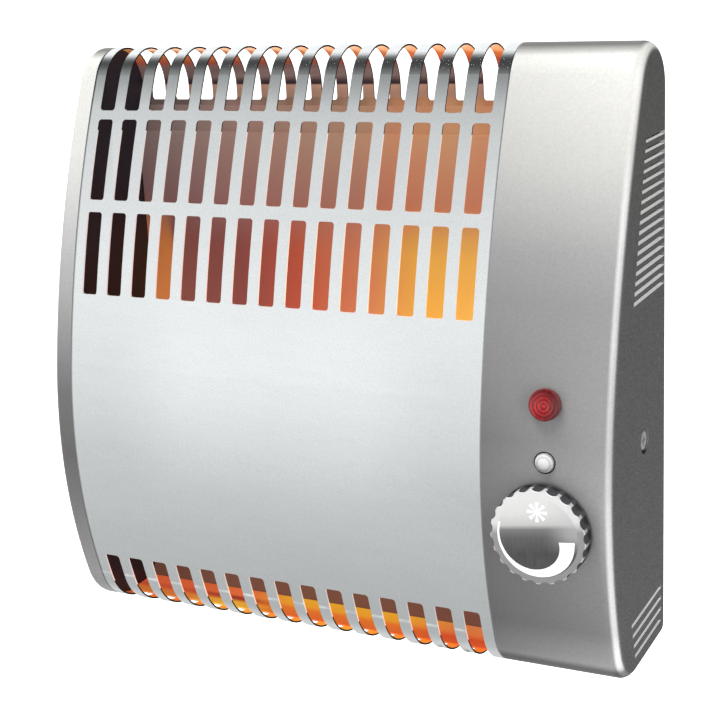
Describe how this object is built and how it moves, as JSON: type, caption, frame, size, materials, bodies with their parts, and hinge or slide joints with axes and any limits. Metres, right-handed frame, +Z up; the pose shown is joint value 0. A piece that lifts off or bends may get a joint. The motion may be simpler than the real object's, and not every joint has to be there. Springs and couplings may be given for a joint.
{
  "type": "frost protection heater",
  "caption": "Wall-hung electric frost protection heater: curved slotted sheet grille between a narrow end cap and a control housing with fluted thermostat dial and signal lamp.",
  "frame": {"origin": "centre of the rear face, on the wall", "axes": "+X to the right seen from the front, +Y into the wall, +Z up"},
  "size_m": [0.275, 0.0927, 0.271],
  "materials": {
    "grille_sheet": "pale bluish grey satin coat",
    "silver_shell": "silver metallic satin paint",
    "black_plate": "black heat-resistant paint",
    "zinc_sheet": "zinc-plated sheet",
    "reflector_sheet": "heat-tinted bright sheet",
    "fin_metal": "extruded",
    "sheath_steel": "heat-tinted sheath",
    "screw_steel": "plated screws and shafts",
    "ceramic": "unglazed",
    "brass": "bright",
    "dark_moulding": "dark thermoset",
    "pale_moulding": "natural nylon",
    "knob_dark": "dark grey with bright crests",
    "knob_bright": "polished with printed marks",
    "lamp_red": "clear red",
    "lamp_glass": "neon bulb",
    "index_white": "white",
    "lead_brown": "insulation",
    "lead_blue": "insulation",
    "lead_green": "insulation"
  },
  "bodies": {
    "casing": {"front_grille": "grille_sheet", "left_end_cap": "silver_shell", "control_housing": "silver_shell", "left_side_plate": "black_plate", "rear_panel": "zinc_sheet", "partition_plate": "zinc_sheet", "side_bracket": "zinc_sheet", "thermostat_bracket": "zinc_sheet", "heat_reflector": "reflector_sheet", "heating_fins": "fin_metal", "heating_rod": "sheath_steel", "side_screw_left": "screw_steel", "side_screw_right": "screw_steel", "earth_screw": "screw_steel", "lever_pin": "screw_steel", "terminal_screw_1": "screw_steel", "terminal_screw_2": "screw_steel", "terminal_screw_3": "screw_steel", "ceramic_bush_left": "ceramic", "ceramic_bush_right": "ceramic", "element_pin_upper": "brass", "element_pin_lower": "brass", "thermostat_bush": "brass", "bush_nut": "brass", "contact_blade": "brass", "thermostat_tab_1": "brass", "thermostat_tab_2": "brass", "cutout_tab_1": "brass", "cutout_tab_2": "brass", "lamp_tab_1": "brass", "lamp_tab_2": "brass", "thermostat_body": "dark_moulding", "thermostat_cover": "dark_moulding", "overheat_cutout": "dark_moulding", "cable_gland": "dark_moulding", "lamp_holder": "dark_moulding", "terminal_block": "pale_moulding", "lamp_lens": "lamp_red", "lamp_bulb": "lamp_glass", "index_stud": "index_white", "lead_live": "lead_brown", "lead_switched": "lead_brown", "lead_cutout": "lead_brown", "lead_lamp_switched": "lead_brown", "lead_neutral": "lead_blue", "lead_lamp_neutral": "lead_blue", "lead_earth": "lead_green"},
    "dial": {"knob_body": "knob_dark", "knob_face": "knob_bright", "dial_spindle": "screw_steel", "setting_cam": "pale_moulding"},
    "lever": {"setting_lever": "brass"}
  },
  "joints": [
    {"name": "dial_turn", "type": "hinge", "parent": "casing", "child": "dial", "pos_m": [0.1095, -0.0842, -0.057], "axis": [0, 1, 0], "range_deg": [0, 260]},
    {"name": "lever_tilt", "type": "hinge", "parent": "casing", "child": "lever", "pos_m": [0.1205, -0.06475, -0.071], "axis": [0, 1, 0], "range_deg": [0, 10.2]}
  ],
  "couplings": [
    {"joint": "lever_tilt", "follows": "dial_turn", "ratio": 0.03923}
  ]
}
